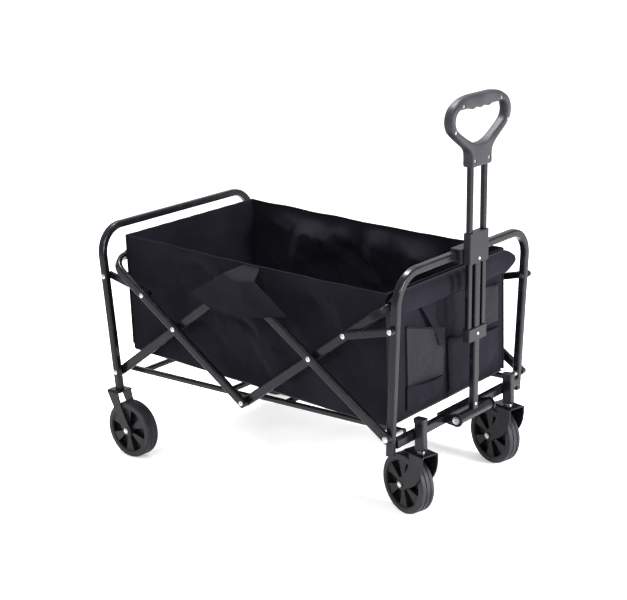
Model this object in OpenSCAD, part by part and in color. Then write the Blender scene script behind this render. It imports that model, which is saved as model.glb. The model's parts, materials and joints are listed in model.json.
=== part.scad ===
// Folding four-wheel beach cart.
// +X is forward (the pull-handle end), +Y is the cart's left, +Z is up, and z = 0 is the ground.
// The cart is drawn open, with its castors turned a little and its handle half raised.

/* [Frame] */
// Distance along the cart between the rear and the front foot pivots
base_l = 744; // [620:1:900]
// Distance across the cart between the two outer frame layers, centre to centre
track_w = 490; // [410:1:590]
// Height of the foot pivots above the ground
pivot_z = 190; // [175:1:215]
// Outward lean of both hoops, in degrees
hoop_lean = 4; // [0:0.5:5]
// Height of each hoop's top tube above the crossbar inside the bag's sleeve
hoop_rise = 66; // [60:1:100]
// Outside size of the square hoop tube
hoop_tube = 16; // [14:1:18]
// Centre-line radius of the hoops' bends
hoop_bend = 60; // [45:1:80]
// Wall of every steel tube
tube_wall = 1.2; // [0.8:0.1:1.6]
// Distance from the outer frame layer to the inner one
layer_step = 15; // [15:1:18]

/* [Scissor] */
// Slope of the scissor bars when the cart is open, in degrees
bar_slope = 35; // [30:1:38]
// Depth of a scissor bar, seen from the side of the cart
bar_w = 20; // [16:1:22]
// Thickness of a scissor bar, across the cart
bar_t = 12; // [10:1:12]
// Centre-line radius where a long bar turns into its crossbar
bar_bend = 45; // [35:1:55]
// How much shorter than the lower half of a long bar its upper half is
bar_inset = 5; // [3:1:8]
// Distance along a long bar from its crossing to the stay's rivet
stay_reach = 108; // [90:1:120]
// Depth of a stay
stay_w = 15; // [12:1:18]
// Thickness of a stay
stay_t = 10; // [8:1:10]
// How far the scissor turns from open to folded, in degrees
fold_turn = 43; // [38:1:44]

/* [Floor] */
// Outside size of the square floor rails
rail_tube = 11; // [9:1:14]
// Distance from a foot pivot to the first floor cross tube
near_tie = 45; // [35:1:60]
// Distance from a foot pivot to the second floor cross tube
far_tie_gap = 75; // [70:1:90]
// Thickness of the stiff boards in the bag's floor
board_t = 3; // [2:0.5:5]
// How far each board stops short of the middle of the cart
board_gap = 97; // [90:1:110]

/* [Wheels] */
// Wheel diameter over the tyre
wheel_d = 127; // [110:1:140]
// Tyre width
tyre_w = 32; // [26:1:36]
// Thickness of the tyre
tyre_t = 11.5; // [9:0.5:14]
// Axle bolt radius
axle_r = 4; // [3:0.5:5]
// Distance from a rear leg's foot forward to its axle
rear_trail = 37; // [30:1:45]
// Distance from a castor's swivel line back to its axle
front_trail = 42; // [36:1:48]
// Turn of both castors about their swivel lines, in degrees
castor_turn = -15; // [-30:1:30]
// Thickness of the fork plate
fork_t = 3; // [2:0.5:4]
// Height of the rear forks' top faces, where the legs stand, above the tyres
rear_fork_over = 24; // [19:1:31]
// Height of the castor forks' top faces above the tyres
castor_over = 15; // [11:1:19]
// Distance from the middle of the cart to a castor's swivel line
castor_y = 161; // [150:1:175]

/* [Handle] */
// Forward lean of the handle at rest, in degrees
handle_lean = 1.6; // [0:0.1:2.5]
// Width of the central stem
stem_w = 18; // [16:1:20]
// Depth of the central stem
stem_d = 13; // [11:1:15]
// Distance from the middle of the stem to the middle of a side tube
side_y = 24.5; // [22:0.5:28]
// Width of a side tube
side_w = 12; // [10:1:14]
// Depth of a side tube
side_d = 10; // [8:1:12]
// Distance up the handle from its pivot to the top block
block_h = 318; // [300:1:330]
// Distance up the handle from its pivot to the sliding collar
collar_h = 157; // [140:1:170]
// Distance up the handle from its pivot to the bottom of the grip
grip_h = 512; // [490:1:530]
// Height of the grip
grip_tall = 141.5; // [125:0.5:150]
// Thickness of the grip
grip_t = 24; // [20:1:28]

/* [Bag] */
// Distance from the middle of the cart to the outer face of a bag side
bag_half_w = 210; // [190:1:212]
// Thickness of the bag's fabric sides
cloth_t = 3; // [2:0.5:4]
// Thickness of the bag's stiffened end walls
end_t = 4; // [3:0.5:6]
// Height of the bag's rear rim above the crossbar
rim_rear = 50; // [45:1:60]
// Height of the bag's rim above the crossbar at the middle of the cart
rim_mid = 32; // [28:1:45]
// Height of the bag's front rim above the crossbar
rim_front = 20; // [15:1:40]
// Half height of the sleeve around a crossbar
sleeve_half_h = 24; // [18:1:28]

/* [Hidden] */
$fn = 48;

black_coat = [0.07, 0.07, 0.08];
black_plastic = [0.10, 0.10, 0.11];
silver = [0.78, 0.78, 0.80];
black_cloth = [0.09, 0.09, 0.12];
rubber_grey = [0.20, 0.20, 0.22];

running = 0.05;    // radial clearance of a turning fit
slip = 0.3;        // clearance between pieces that slide past each other
edge = 1;          // how far a cutting shape runs past what it cuts

// Frame layers and pivots
y_out = track_w / 2;
y_in = y_out - layer_step;
foot_x = base_l / 2;
half_bar = base_l / 4 / cos(bar_slope);
cross_x = base_l / 4;
upper_reach = half_bar - bar_inset;
bar_x = cross_x + upper_reach * cos(bar_slope);
bar_z = pivot_z + (half_bar + upper_reach) * sin(bar_slope);
hoop_z = bar_z + hoop_rise;
hoop_h = (hoop_z - pivot_z) / cos(hoop_lean);
tube_corner = 4;
bar_corner = 4.5;
rail_corner = 3;

// The stay's leg pivot is where the stay is equally long when the cart is open and when it is folded
folded_slope = bar_slope + fold_turn;
stay_open = [-cross_x - stay_reach * cos(bar_slope), (half_bar + stay_reach) * sin(bar_slope)];
stay_shut = [-foot_x + (half_bar - stay_reach) * cos(folded_slope),
             (half_bar + stay_reach) * sin(folded_slope)];
leg_dir = [-sin(hoop_lean), cos(hoop_lean)];
stay_move = stay_shut - stay_open;
stay_leg_h = ((stay_shut * stay_shut - stay_open * stay_open) / 2 - stay_move * [-foot_x, 0])
             / (stay_move * leg_dir);
stay_leg = [-foot_x, 0] + stay_leg_h * leg_dir;
stay_run = stay_open - stay_leg;
stay_l = norm(stay_run);
stay_slope = atan2(stay_run[1], stay_run[0]);

// Rivets
rivet_r = 3;
rivet_head_r = 5.5;
rivet_head_h = 2.2;
spacer_r = 6;

// Floor
rear_rail_y = y_in - 24;
front_rail_y = rear_rail_y - rail_tube - 2;
rail_l = foot_x - 4;
plug_l = 14;
far_tie = foot_x - far_tie_gap;
floor_rise = 32;
floor_fall = 0.058;
board_end = 27;
board_half_w = bag_half_w - 7;
function floor_z(x) = pivot_z + floor_rise - floor_fall * x;

// Forks, wheels and castors
fork_top = wheel_d + rear_fork_over;
castor_top = wheel_d + castor_over;
fork_gap = 2;
fork_in = tyre_w / 2 + fork_gap;
fork_out = fork_in + fork_t;
ear_r = 12;
axle_z = wheel_d / 2;
rim_r = wheel_d / 2 - tyre_t;
hub_r = 14;
spokes = 6;
cross_tube_x = foot_x + 2;
cross_tube_d = 16;
cross_tube_h = 18;
cross_tube_z = pivot_z - 17;
cross_tube_half = y_in - hoop_tube / 2;
stem_tube_d = 22;
stem_tube_w = 16;
castor_x = cross_tube_x + cross_tube_d / 2 + stem_tube_d / 2;
stem_lift = 3;
stem_foot = castor_top + stem_lift;
stem_top = cross_tube_z + cross_tube_h / 2 + 20;
cap_h = 9;
pin_r = 5;
pin_rise = 24;
pin_head_h = 4;

// Handle, drawn upright about its pivot and then leaned
handle_x = castor_x + 17;
handle_z = cross_tube_z + 5;
barrel_r = 11;
saddle_half = 62;
saddle_t = 3;
saddle_nose = 14;
block_tall = 62;
block_half = 33;
block_d = 18;
collar_tall = 26;
collar_half = 31.5;
collar_d = 17;
stem_into_block = 44;
tube_into_grip = 20;
neck_half = 34;
grip_chamfer = 4;
jaw_half = block_half + 8;
jaw_t = 4.5;
bar_from_handle = (foot_x + hoop_h * sin(hoop_lean)) - handle_x
                  - (hoop_z - handle_z) * tan(handle_lean);
jaw_level = (hoop_z - handle_z) / cos(handle_lean) + bar_from_handle * sin(handle_lean);
jaw_back = bar_from_handle - hoop_tube / 2;
hoop_support = (hoop_tube / 2 - tube_corner) * (cos(hoop_lean) + sin(hoop_lean)) + tube_corner;
screw_places = [[side_y, 12], [90.5, 77], [66, 123.5]];
screw_r = 3.5;

// Bag
sleeve_half_d = 13.7;
bar_room = 3;
bar_swing_r = norm([bar_w / 2 - bar_corner, bar_t / 2 - bar_corner]) + bar_corner;
bag_end = bar_x - sleeve_half_d - bar_room;
board_swing = 9;
side_y_in = bag_half_w - cloth_t;
flap_y = y_out + bar_t / 2 + 5;
flap_t = 2;

// The middle of the whole length is at x = 0
rear_most = foot_x + hoop_h * sin(hoop_lean) + hoop_support;
front_most = handle_x + (grip_h + grip_tall - grip_chamfer) * sin(handle_lean)
             + grip_t / 2 * cos(handle_lean);
x_shift = (rear_most - front_most) / 2;

// ---------------------------------------------------------------- shared shapes

module round_rect(w, h, r) {
    square([w - 2 * r, h], center = true);
    square([w, h - 2 * r], center = true);
    for (sx = [-1, 1], sy = [-1, 1]) translate([sx * (w / 2 - r), sy * (h / 2 - r)]) circle(r);
}

// A flat U in the XY plane: two legs along X and a crossbar along Y
module u_shape(start, reach, half_w, bend_r, t, w, r) {
    for (s = [0, 1]) mirror([0, s, 0]) {
        translate([start, half_w, 0]) rotate([90, 0, 90])
            linear_extrude(reach - bend_r - start) round_rect(t, w, r);
        translate([reach - bend_r, half_w - bend_r, 0])
            rotate_extrude(angle = 90) translate([bend_r, 0]) round_rect(t, w, r);
    }
    translate([reach, 0, 0]) rotate([90, 0, 0])
        linear_extrude(2 * (half_w - bend_r), center = true) round_rect(t, w, r);
}

// Cross-bore along Y at a distance along X
module y_bore(x, r, y_reach = 400) {
    translate([x, 0, 0]) rotate([90, 0, 0]) cylinder(r = r, h = 2 * y_reach, center = true);
}

module dome(r, h) {
    ball = (r * r + h * h) / (2 * h);
    intersection() {
        translate([0, 0, h - ball]) sphere(ball);
        cylinder(r = r, h = h);
    }
}

// Rivet along +Y from its inner end to its domed outer end
module rivet(y_from, y_to, r = rivet_r, head = rivet_head_r) {
    translate([0, y_from, 0]) rotate([-90, 0, 0]) cylinder(r = r, h = y_to - y_from);
    translate([0, y_to, 0]) rotate([-90, 0, 0]) dome(head, rivet_head_h);
}

module tail(y_at) {
    translate([0, y_at - 1.5, 0]) rotate([-90, 0, 0]) cylinder(r = rivet_head_r - 1, h = 1.5);
}

module both_sides() {
    for (s = [0, 1]) mirror([0, s, 0]) children();
}

module rear_half() { translate([-foot_x, 0, pivot_z]) children(); }
module front_half() { mirror([1, 0, 0]) rear_half() children(); }
module sloped(angle) { rotate([0, -angle, 0]) children(); }

// ---------------------------------------------------------------- hoops

// Upright U standing on its foot pivots, leaning towards -X
module hoop(half_w) {
    below = pivot_z - fork_top + 12;
    difference() {
        rotate([0, -90 - hoop_lean, 0]) difference() {
            u_shape(-below, hoop_h, half_w, hoop_bend, hoop_tube, hoop_tube, tube_corner);
            u_shape(-below - edge, hoop_h, half_w, hoop_bend, hoop_tube - 2 * tube_wall,
                    hoop_tube - 2 * tube_wall, tube_corner - tube_wall);
            y_bore(0, rivet_r);
            y_bore(stay_leg_h, rivet_r);
        }
        translate([-100, -track_w, -200]) cube([200, 2 * track_w, 200 - pivot_z + fork_top]);
    }
}

module rear_hoop() { color(black_coat) rear_half() hoop(y_out); }

module front_hoop() { color(black_coat) front_half() hoop(y_in); }

// ---------------------------------------------------------------- wheels and forks

// Fork bent from one plate. Its top face is at z = 0 and its axle is forward and below.
module fork(top, back, front, cheek, knees, trail) {
    drop = top - axle_z;
    ear = [trail, -drop];
    start = atan2(ear[0] - (cheek[0] + cheek[1]) / 2, drop);
    ear_edge = [for (i = [0 : 12]) ear + ear_r * [cos(start - 15 * i), sin(start - 15 * i)]];
    reach = abs(trail) + ear_r + edge;
    difference() {
        intersection() {
            rotate([90, 0, 90]) linear_extrude(2 * reach, center = true) fork_section(top);
            rotate([90, 0, 0]) linear_extrude(2 * fork_out + 2 * edge, center = true)
                polygon(concat([[back, -fork_t], [back, edge], [front, edge], [front, -fork_t]],
                               [[cheek[1], -fork_t]],
                               bow([cheek[1], -fork_t], knees[1], ear_edge[0]), ear_edge,
                               bow(ear_edge[12], knees[0], [cheek[0], -fork_t]),
                               [[cheek[0], -fork_t]]));
        }
        translate([0, 0, -drop]) y_bore(trail, axle_r);
    }
}

// Places along a smooth curve from one point to another that is drawn towards a third
function bow(from, knee, to) = [for (t = [0.125 : 0.125 : 0.875])
    (1 - t) * (1 - t) * from + 2 * t * (1 - t) * knee + t * t * to];

module fork_section(deep) {
    r = 5;
    difference() {
        union() {
            translate([-fork_out, -deep]) square([2 * fork_out, deep - r]);
            translate([-fork_out + r, -2 * r]) square([2 * (fork_out - r), 2 * r]);
            for (s = [-1, 1]) translate([s * (fork_out - r), -r]) circle(r);
        }
        translate([-fork_in, -deep - edge]) square([2 * fork_in, deep - fork_t + edge]);
    }
}

// Axle bolt along Y through both ears, with a domed head and a nut
module axle_bolt() {
    reach = fork_out + 0.2;
    rotate([90, 0, 0]) cylinder(r = axle_r, h = 2 * reach + 8, center = true);
    both_sides() translate([0, fork_out, 0]) rotate([-90, 0, 0]) {
        cylinder(r = 6.5, h = 3.2, $fn = 6);
        translate([0, 0, 3.2]) dome(5.5, 2);
    }
}

module rim_profile() {
    half = tyre_w / 2 - 1;
    web = 2.5;
    lip = 3;
    polygon([[axle_r + running, -half - 1], [hub_r, -half - 1], [hub_r, -web], [rim_r - lip, -web],
             [rim_r - lip, -half], [rim_r, -half], [rim_r, half], [rim_r - lip, half],
             [rim_r - lip, web], [hub_r, web], [hub_r, half + 1], [axle_r + running, half + 1]]);
}

// Wedge between two radii, centred on +X
module wedge(r1, r2, angle) {
    intersection() {
        difference() { circle(r2); circle(r1); }
        polygon([[0, 0], [2 * r2 * cos(angle / 2), -2 * r2 * sin(angle / 2)],
                 [2 * r2 * cos(angle / 2), 2 * r2 * sin(angle / 2)]]);
    }
}

// Moulded rim on the Y axis: hub, web and wedge spokes
module rim() {
    half = tyre_w / 2 - 2;
    spoke_angle = 27;
    rotate([90, 0, 0]) {
        rotate_extrude() rim_profile();
        for (i = [0 : spokes - 1]) rotate(i * 360 / spokes + 90)
            linear_extrude(2 * half, center = true) wedge(hub_r - 1, rim_r - 2, spoke_angle);
    }
}

// Tyre with three rounded ribs
module tyre() {
    out = wheel_d / 2;
    half = tyre_w / 2;
    groove = 2;
    third = half / 3;
    rotate([90, 0, 0]) rotate_extrude($fn = 96) difference() {
        union() {
            translate([rim_r, -half]) square([tyre_t - 4, tyre_w]);
            translate([rim_r, -half + 4]) square([tyre_t, tyre_w - 8]);
            for (s = [-1, 1]) translate([out - 4, s * (half - 4)]) circle(4);
        }
        for (s = [-1, 1]) translate([out, s * third]) circle(groove);
    }
}

module at_rear_axle(left) {
    translate([-foot_x + rear_trail, (left ? 1 : -1) * y_out, axle_z]) children();
}

module at_castor(left) {
    translate([castor_x, (left ? 1 : -1) * castor_y, 0]) rotate(castor_turn) children();
}

module at_front_axle(left) { at_castor(left) translate([-front_trail, 0, axle_z]) children(); }

module rear_forks() {
    color(black_coat) both_sides() translate([-foot_x, y_out, fork_top])
        fork(fork_top, -17, 22, [-17, 16], [[6, -50], [20, -36]], rear_trail);
}

module rear_axles() {
    color(silver) for (left = [true, false]) at_rear_axle(left) axle_bolt();
}

module rear_rim(left) { color(black_plastic) at_rear_axle(left) rim(); }
module rear_tyre(left) { color(rubber_grey) at_rear_axle(left) tyre(); }

module front_fork(left) {
    color(black_coat) at_castor(left) translate([0, 0, castor_top]) difference() {
        fork(castor_top, -31, 28.5, [-13, 27], [[-7, -40], [30, -66]], -front_trail);
        cylinder(r = pin_r, h = 4 * fork_t, center = true);
    }
}

// Swivel pin: a head under the fork plate, a thrust washer over it and a shank up into the bush
module castor_pin(left) {
    color(silver) at_castor(left) {
        translate([0, 0, castor_top - fork_t - pin_head_h]) cylinder(r = 9, h = pin_head_h);
        translate([0, 0, castor_top - fork_t]) cylinder(r = pin_r, h = fork_t);
        translate([0, 0, castor_top]) cylinder(r = 10, h = stem_lift - slip);
        translate([0, 0, castor_top]) cylinder(r = pin_r, h = stem_lift + pin_rise);
    }
}

module front_axle(left) { color(silver) at_front_axle(left) axle_bolt(); }
module front_rim(left) { color(black_plastic) at_front_axle(left) rim(); }
module front_tyre(left) { color(rubber_grey) at_front_axle(left) tyre(); }

// ---------------------------------------------------------------- front cross tube and castor stems

module front_cross_tube() {
    color(black_coat) translate([cross_tube_x, 0, cross_tube_z]) rotate([90, 0, 0])
        linear_extrude(2 * cross_tube_half, center = true) difference() {
            round_rect(cross_tube_d, cross_tube_h, rail_corner);
            round_rect(cross_tube_d - 2 * tube_wall, cross_tube_h - 2 * tube_wall,
                       rail_corner - tube_wall);
        }
}

module stem_section(inset) {
    round_rect(stem_tube_d - 2 * inset, stem_tube_w - 2 * inset, rail_corner - inset);
}

module castor_stems() {
    color(black_coat) both_sides() translate([castor_x, castor_y, stem_foot])
        linear_extrude(stem_top - stem_foot) difference() {
            stem_section(0);
            stem_section(tube_wall);
        }
}

module stem_caps() {
    plug = 6;
    color(black_plastic) both_sides() translate([castor_x, castor_y, stem_top]) {
        linear_extrude(cap_h) round_rect(stem_tube_d + 3, stem_tube_w + 3, rail_corner + 1);
        translate([0, 0, -plug]) linear_extrude(plug) stem_section(tube_wall);
    }
}

module stem_bushes() {
    color(black_plastic) both_sides() translate([castor_x, castor_y, stem_foot])
        linear_extrude(pin_rise - 4) difference() {
            stem_section(tube_wall);
            circle(pin_r + running);
        }
}

// ---------------------------------------------------------------- scissor bars and stays

// Flat-sided bar along X between two pivots, with round ends and a hollow middle
module bar(len, w, t, corner, bores) {
    solid_end = w * 0.7;
    difference() {
        intersection() {
            translate([-w / 2, 0, 0]) rotate([90, 0, 90])
                linear_extrude(len + w) round_rect(t, w, corner);
            rotate([90, 0, 0]) linear_extrude(t + edge, center = true) union() {
                translate([0, -w / 2]) square([len, w]);
                circle(w / 2);
                translate([len, 0]) circle(w / 2);
            }
        }
        translate([solid_end, 0, 0]) rotate([90, 0, 90]) linear_extrude(len - 2 * solid_end)
            round_rect(t - 2 * tube_wall, w - 2 * tube_wall, corner - tube_wall);
        for (b = bores) y_bore(b[0], b[1]);
    }
}

// Long bar pair in one tube: from the bottom pivot up to a crossbar inside the bag's sleeve
module top_tube(half_w, bores) {
    total = half_bar + upper_reach;
    difference() {
        union() {
            u_shape(0, total, half_w, bar_bend, bar_t, bar_w, bar_corner);
            both_sides() translate([0, half_w, 0]) intersection() {
                translate([-bar_w / 2, 0, 0]) rotate([90, 0, 90])
                    linear_extrude(bar_w) round_rect(bar_t, bar_w, bar_corner);
                rotate([90, 0, 0]) cylinder(r = bar_w / 2, h = bar_t + edge, center = true);
            }
        }
        u_shape(bar_w * 0.7, total, half_w, bar_bend, bar_t - 2 * tube_wall,
                bar_w - 2 * tube_wall, bar_corner - tube_wall);
        for (b = bores) y_bore(b[0], b[1]);
    }
}

module at_bottom() { translate([0, 0, pivot_z]) children(); }

module rear_top_tube() {
    color(black_coat) at_bottom() mirror([1, 0, 0]) sloped(bar_slope)
        top_tube(y_out, [[0, rivet_r], [half_bar, rivet_r + running],
                         [half_bar + stay_reach, rivet_r]]);
}

module front_top_tube() {
    color(black_coat) at_bottom() sloped(bar_slope)
        top_tube(y_in, [[0, rivet_r + running], [half_bar, rivet_r + running]]);
}

module rear_foot_bars() {
    color(black_coat) rear_half() sloped(bar_slope) both_sides() translate([0, y_in, 0])
        bar(2 * half_bar, bar_w, bar_t, bar_corner,
            [[0, rivet_r + running], [half_bar, rivet_r], [2 * half_bar, rivet_r]]);
}

module front_foot_bars() {
    color(black_coat) front_half() sloped(bar_slope) both_sides() translate([0, y_out, 0])
        bar(2 * half_bar, bar_w, bar_t, bar_corner,
            [[0, rivet_r + running], [half_bar, rivet_r], [2 * half_bar, rivet_r + running]]);
}

module at_stay() { translate([stay_leg[0], 0, pivot_z + stay_leg[1]]) sloped(stay_slope) children(); }

module rear_stays() {
    color(black_coat) at_stay() both_sides() translate([0, y_in, 0])
        bar(stay_l, stay_w, stay_t, rail_corner, [[0, rivet_r + running]]);
}

module front_stays() {
    color(black_coat) mirror([1, 0, 0]) at_stay() both_sides() translate([0, y_out, 0])
        bar(stay_l, stay_w, stay_t, rail_corner, [[0, rivet_r + running], [stay_l, rivet_r]]);
}

// ---------------------------------------------------------------- rivets, one group per moving piece

module rear_frame_rivets() {
    rail_face = rear_rail_y + rail_tube / 2;
    leg_face = y_out + hoop_tube / 2;
    color(silver) both_sides() {
        rear_half() {
            rivet(rear_rail_y - rail_tube / 2 - slip, leg_face);
            tail(rear_rail_y - rail_tube / 2 - slip);
            translate([0, rail_face + slip, 0]) rotate([-90, 0, 0])
                cylinder(r = spacer_r, h = y_in - bar_t / 2 - rail_face - 2 * slip);
        }
        translate([stay_leg[0], 0, pivot_z + stay_leg[1]]) {
            rivet(y_in - stay_t / 2 - slip, leg_face);
            tail(y_in - stay_t / 2 - slip);
        }
    }
}

module front_frame_rivets() {
    rail_face = front_rail_y + rail_tube / 2;
    color(silver) both_sides() {
        front_half() {
            rivet(front_rail_y - rail_tube / 2 - slip, y_out + bar_t / 2 + slip, rivet_r, 6.5);
            tail(front_rail_y - rail_tube / 2 - slip);
            translate([0, rail_face + slip, 0]) rotate([-90, 0, 0])
                cylinder(r = spacer_r, h = y_in - hoop_tube / 2 - rail_face - slip);
        }
        mirror([1, 0, 0]) translate([stay_leg[0], 0, pivot_z + stay_leg[1]]) {
            rivet(y_in - hoop_tube / 2, y_out + stay_t / 2 + slip);
            tail(y_in - hoop_tube / 2);
        }
    }
}

module rear_bar_rivets() {
    color(silver) both_sides() rear_half() sloped(bar_slope) for (d = [half_bar, 2 * half_bar])
        translate([d, 0, 0]) {
            rivet(y_in - bar_t / 2, y_out + bar_t / 2 + slip);
            tail(y_in - bar_t / 2);
        }
}

module top_tube_rivets() {
    face = y_out + bar_t / 2;
    color(silver) both_sides() at_bottom() mirror([1, 0, 0]) sloped(bar_slope) {
        rivet(y_in - bar_t / 2 - slip, face);
        tail(y_in - bar_t / 2 - slip);
        translate([half_bar + stay_reach, 0, 0]) rivet(y_out - bar_t / 2, face);
    }
}

module front_bar_rivets() {
    color(silver) both_sides() front_half() sloped(bar_slope) translate([half_bar, 0, 0]) {
        rivet(y_in - bar_t / 2 - slip, y_out + bar_t / 2);
        tail(y_in - bar_t / 2 - slip);
    }
}

module front_stay_rivets() {
    color(silver) both_sides() mirror([1, 0, 0]) at_stay()
        translate([stay_l, 0, 0]) rivet(y_out - stay_t / 2, y_out + stay_t / 2);
}

// ---------------------------------------------------------------- floor

// Length of square tube along X whose first end is rounded about a cross pivot at x = 0
module rail_shape(size, corner, start) {
    intersection() {
        translate([start, 0, 0]) rotate([90, 0, 90])
            linear_extrude(rail_l - start) round_rect(size, size, corner);
        rotate([90, 0, 0]) linear_extrude(size + edge, center = true) union() {
            circle(rail_tube / 2);
            translate([0, -rail_tube / 2]) square([rail_l, rail_tube]);
        }
    }
}

// Two rails and two cross tubes, from a foot pivot towards the middle of the cart
module floor_frame(rail_y, hollow_from) {
    inner = rail_tube - 2 * tube_wall;
    difference() {
        union() {
            both_sides() translate([0, rail_y, 0])
                rail_shape(rail_tube, rail_corner, -rail_tube / 2);
            for (x = [near_tie, far_tie]) translate([x, 0, 0]) rotate([90, 0, 0])
                linear_extrude(2 * rail_y, center = true)
                    round_rect(rail_tube, rail_tube, rail_corner);
        }
        both_sides() translate([hollow_from, rail_y, 0]) rotate([90, 0, 90])
            linear_extrude(rail_l - hollow_from + edge)
                round_rect(inner, inner, rail_corner - tube_wall);
        for (x = [near_tie, far_tie]) translate([x, 0, 0]) rotate([90, 0, 0])
            linear_extrude(2 * rail_y, center = true) round_rect(inner, inner, rail_corner - tube_wall);
        y_bore(0, rivet_r + running);
    }
}

module rear_floor_frame() { color(black_coat) rear_half() floor_frame(rear_rail_y, plug_l); }

module front_floor_frame() {
    color(black_coat) front_half() floor_frame(front_rail_y, -rail_tube / 2 - edge);
}

// Plugs that close the front rails around their pivot bolts
module rail_plugs() {
    inner = rail_tube - 2 * tube_wall;
    color(black_plastic) front_half() both_sides() translate([0, front_rail_y, 0]) difference() {
        intersection() {
            rail_shape(inner, rail_corner - tube_wall, -rail_tube / 2);
            translate([-rail_tube, -inner, -inner]) cube([rail_tube + plug_l, 2 * inner, 2 * inner]);
        }
        y_bore(0, rivet_r + running, rail_tube);
    }
}

// Thin slab that follows the slope of the bag's floor between two places along X
module floor_slab(x_from, x_to, t, half_w) {
    rotate([90, 0, 0]) linear_extrude(2 * half_w, center = true)
        polygon([[x_from, floor_z(x_from) - t], [x_to, floor_z(x_to) - t],
                 [x_to, floor_z(x_to)], [x_from, floor_z(x_from)]]);
}

module rear_floor_board() {
    color(black_cloth) floor_slab(-foot_x + board_end, -board_gap, board_t, board_half_w);
}

module front_floor_board() {
    color(black_cloth) floor_slab(board_gap, foot_x - board_end, board_t, board_half_w);
}

module floor_centre_strip() {
    color(black_cloth) floor_slab(-board_gap + slip, board_gap - slip, board_t / 2, board_half_w - 2);
}

// ---------------------------------------------------------------- pull handle

module at_handle() { translate([handle_x, 0, handle_z]) rotate([0, handle_lean, 0]) children(); }

// Bracket over the cross tube with two ears that hold the pivot bolt
module handle_saddle() {
    back = cross_tube_x - cross_tube_d / 2 - saddle_t;
    top = cross_tube_z + cross_tube_h / 2 + saddle_t;
    low = cross_tube_z - cross_tube_h / 2;
    tube_face = cross_tube_x + cross_tube_d / 2;
    nose = castor_x - stem_tube_d / 2 + 4;
    color(black_coat) {
        difference() {
            translate([back, -saddle_half, low]) cube([nose - back, 2 * saddle_half, top - low]);
            translate([back + saddle_t, -saddle_half - edge, low - edge])
                cube([nose - back, 2 * saddle_half + 2 * edge, top - low - saddle_t + edge]);
        }
        both_sides() translate([0, saddle_half, 0]) rotate([90, 0, 0]) linear_extrude(saddle_t)
            difference() {
                union() {
                    translate([tube_face, low + 4]) square([nose - tube_face, top - low - 4]);
                    polygon([[nose - 4, top], [nose - 4, low + 4], [handle_x, handle_z - saddle_nose],
                             [handle_x, handle_z + saddle_nose]]);
                    translate([handle_x, handle_z]) circle(saddle_nose);
                }
                translate([handle_x, handle_z]) circle(axle_r);
            }
    }
}

module handle_pivot_bolt() {
    color(silver) translate([handle_x, 0, handle_z]) {
        rotate([90, 0, 0]) cylinder(r = axle_r, h = 2 * saddle_half, center = true);
        both_sides() translate([0, saddle_half, 0]) rotate([-90, 0, 0]) {
            cylinder(r = 8, h = 1.2);
            cylinder(r = 6.5, h = 4.5, $fn = 6);
        }
    }
}

module handle_section(w, d, inset, r) { round_rect(d - 2 * inset, w - 2 * inset, r - inset); }

module handle_stem() {
    top = block_h + stem_into_block;
    color(black_coat) at_handle() difference() {
        union() {
            rotate([90, 0, 0]) cylinder(r = barrel_r, h = 2 * (saddle_half - saddle_t - slip), center = true);
            linear_extrude(top) handle_section(stem_w, stem_d, 0, rail_corner);
        }
        translate([0, 0, barrel_r + 2]) linear_extrude(top)
            handle_section(stem_w, stem_d, tube_wall, rail_corner);
        rotate([90, 0, 0]) cylinder(r = axle_r + running, h = 3 * saddle_half, center = true);
    }
}

// Plastic block on the stem: it guides the side tubes and clips over the front hoop
module handle_top_block() {
    color(black_plastic) at_handle() {
        difference() {
            translate([0, 0, block_h]) linear_extrude(block_tall) difference() {
                round_rect(block_d, 2 * block_half, rail_corner);
                for (s = [-1, 1]) translate([0, s * side_y])
                    round_rect(side_d + 2 * slip, side_w + 2 * slip, 2);
            }
            translate([0, 0, block_h - edge]) linear_extrude(stem_into_block + edge)
                handle_section(stem_w, stem_d, 0, rail_corner);
        }
        for (z = [jaw_level + hoop_tube / 2 + 1.2, jaw_level - hoop_tube / 2 - 2.4 - jaw_t])
            translate([jaw_back, -jaw_half, z])
                cube([-jaw_back - block_d / 2, 2 * jaw_half, jaw_t]);
        translate([bar_from_handle + hoop_tube / 2 + 1.2, -jaw_half,
                   jaw_level - hoop_tube / 2 - 2.4 - jaw_t])
            cube([-bar_from_handle - hoop_tube / 2 - 1.2 - block_d / 2, 2 * jaw_half,
                  hoop_tube + 3.6 + 2 * jaw_t]);
    }
}

module face_rivet(x, z) {
    translate([x, 0, z]) rotate([0, 90, 0]) dome(3.5, 1.6);
}

module handle_rivets() {
    color(silver) at_handle() {
        face_rivet(stem_d / 2, barrel_r + 8);
        face_rivet(block_d / 2, block_h + 8);
    }
}

module handle_collar() {
    color(black_plastic) at_handle() translate([0, 0, collar_h]) linear_extrude(collar_tall)
        difference() {
            round_rect(collar_d, 2 * collar_half, rail_corner);
            handle_section(stem_w + 2 * slip, stem_d + 2 * slip, 0, rail_corner);
            for (s = [-1, 1]) translate([0, s * side_y]) round_rect(side_d, side_w, 2);
        }
}

module side_tubes() {
    color(black_coat) at_handle() both_sides() translate([0, side_y, collar_h]) difference() {
        linear_extrude(grip_h + tube_into_grip - collar_h) difference() {
            round_rect(side_d, side_w, 2);
            round_rect(side_d - 2 * tube_wall, side_w - 2 * tube_wall, 2 - tube_wall);
        }
        translate([0, 0, grip_h - collar_h + screw_places[0][1]]) rotate([0, 90, 0])
            cylinder(r = screw_r, h = 2 * side_d, center = true);
    }
}

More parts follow.
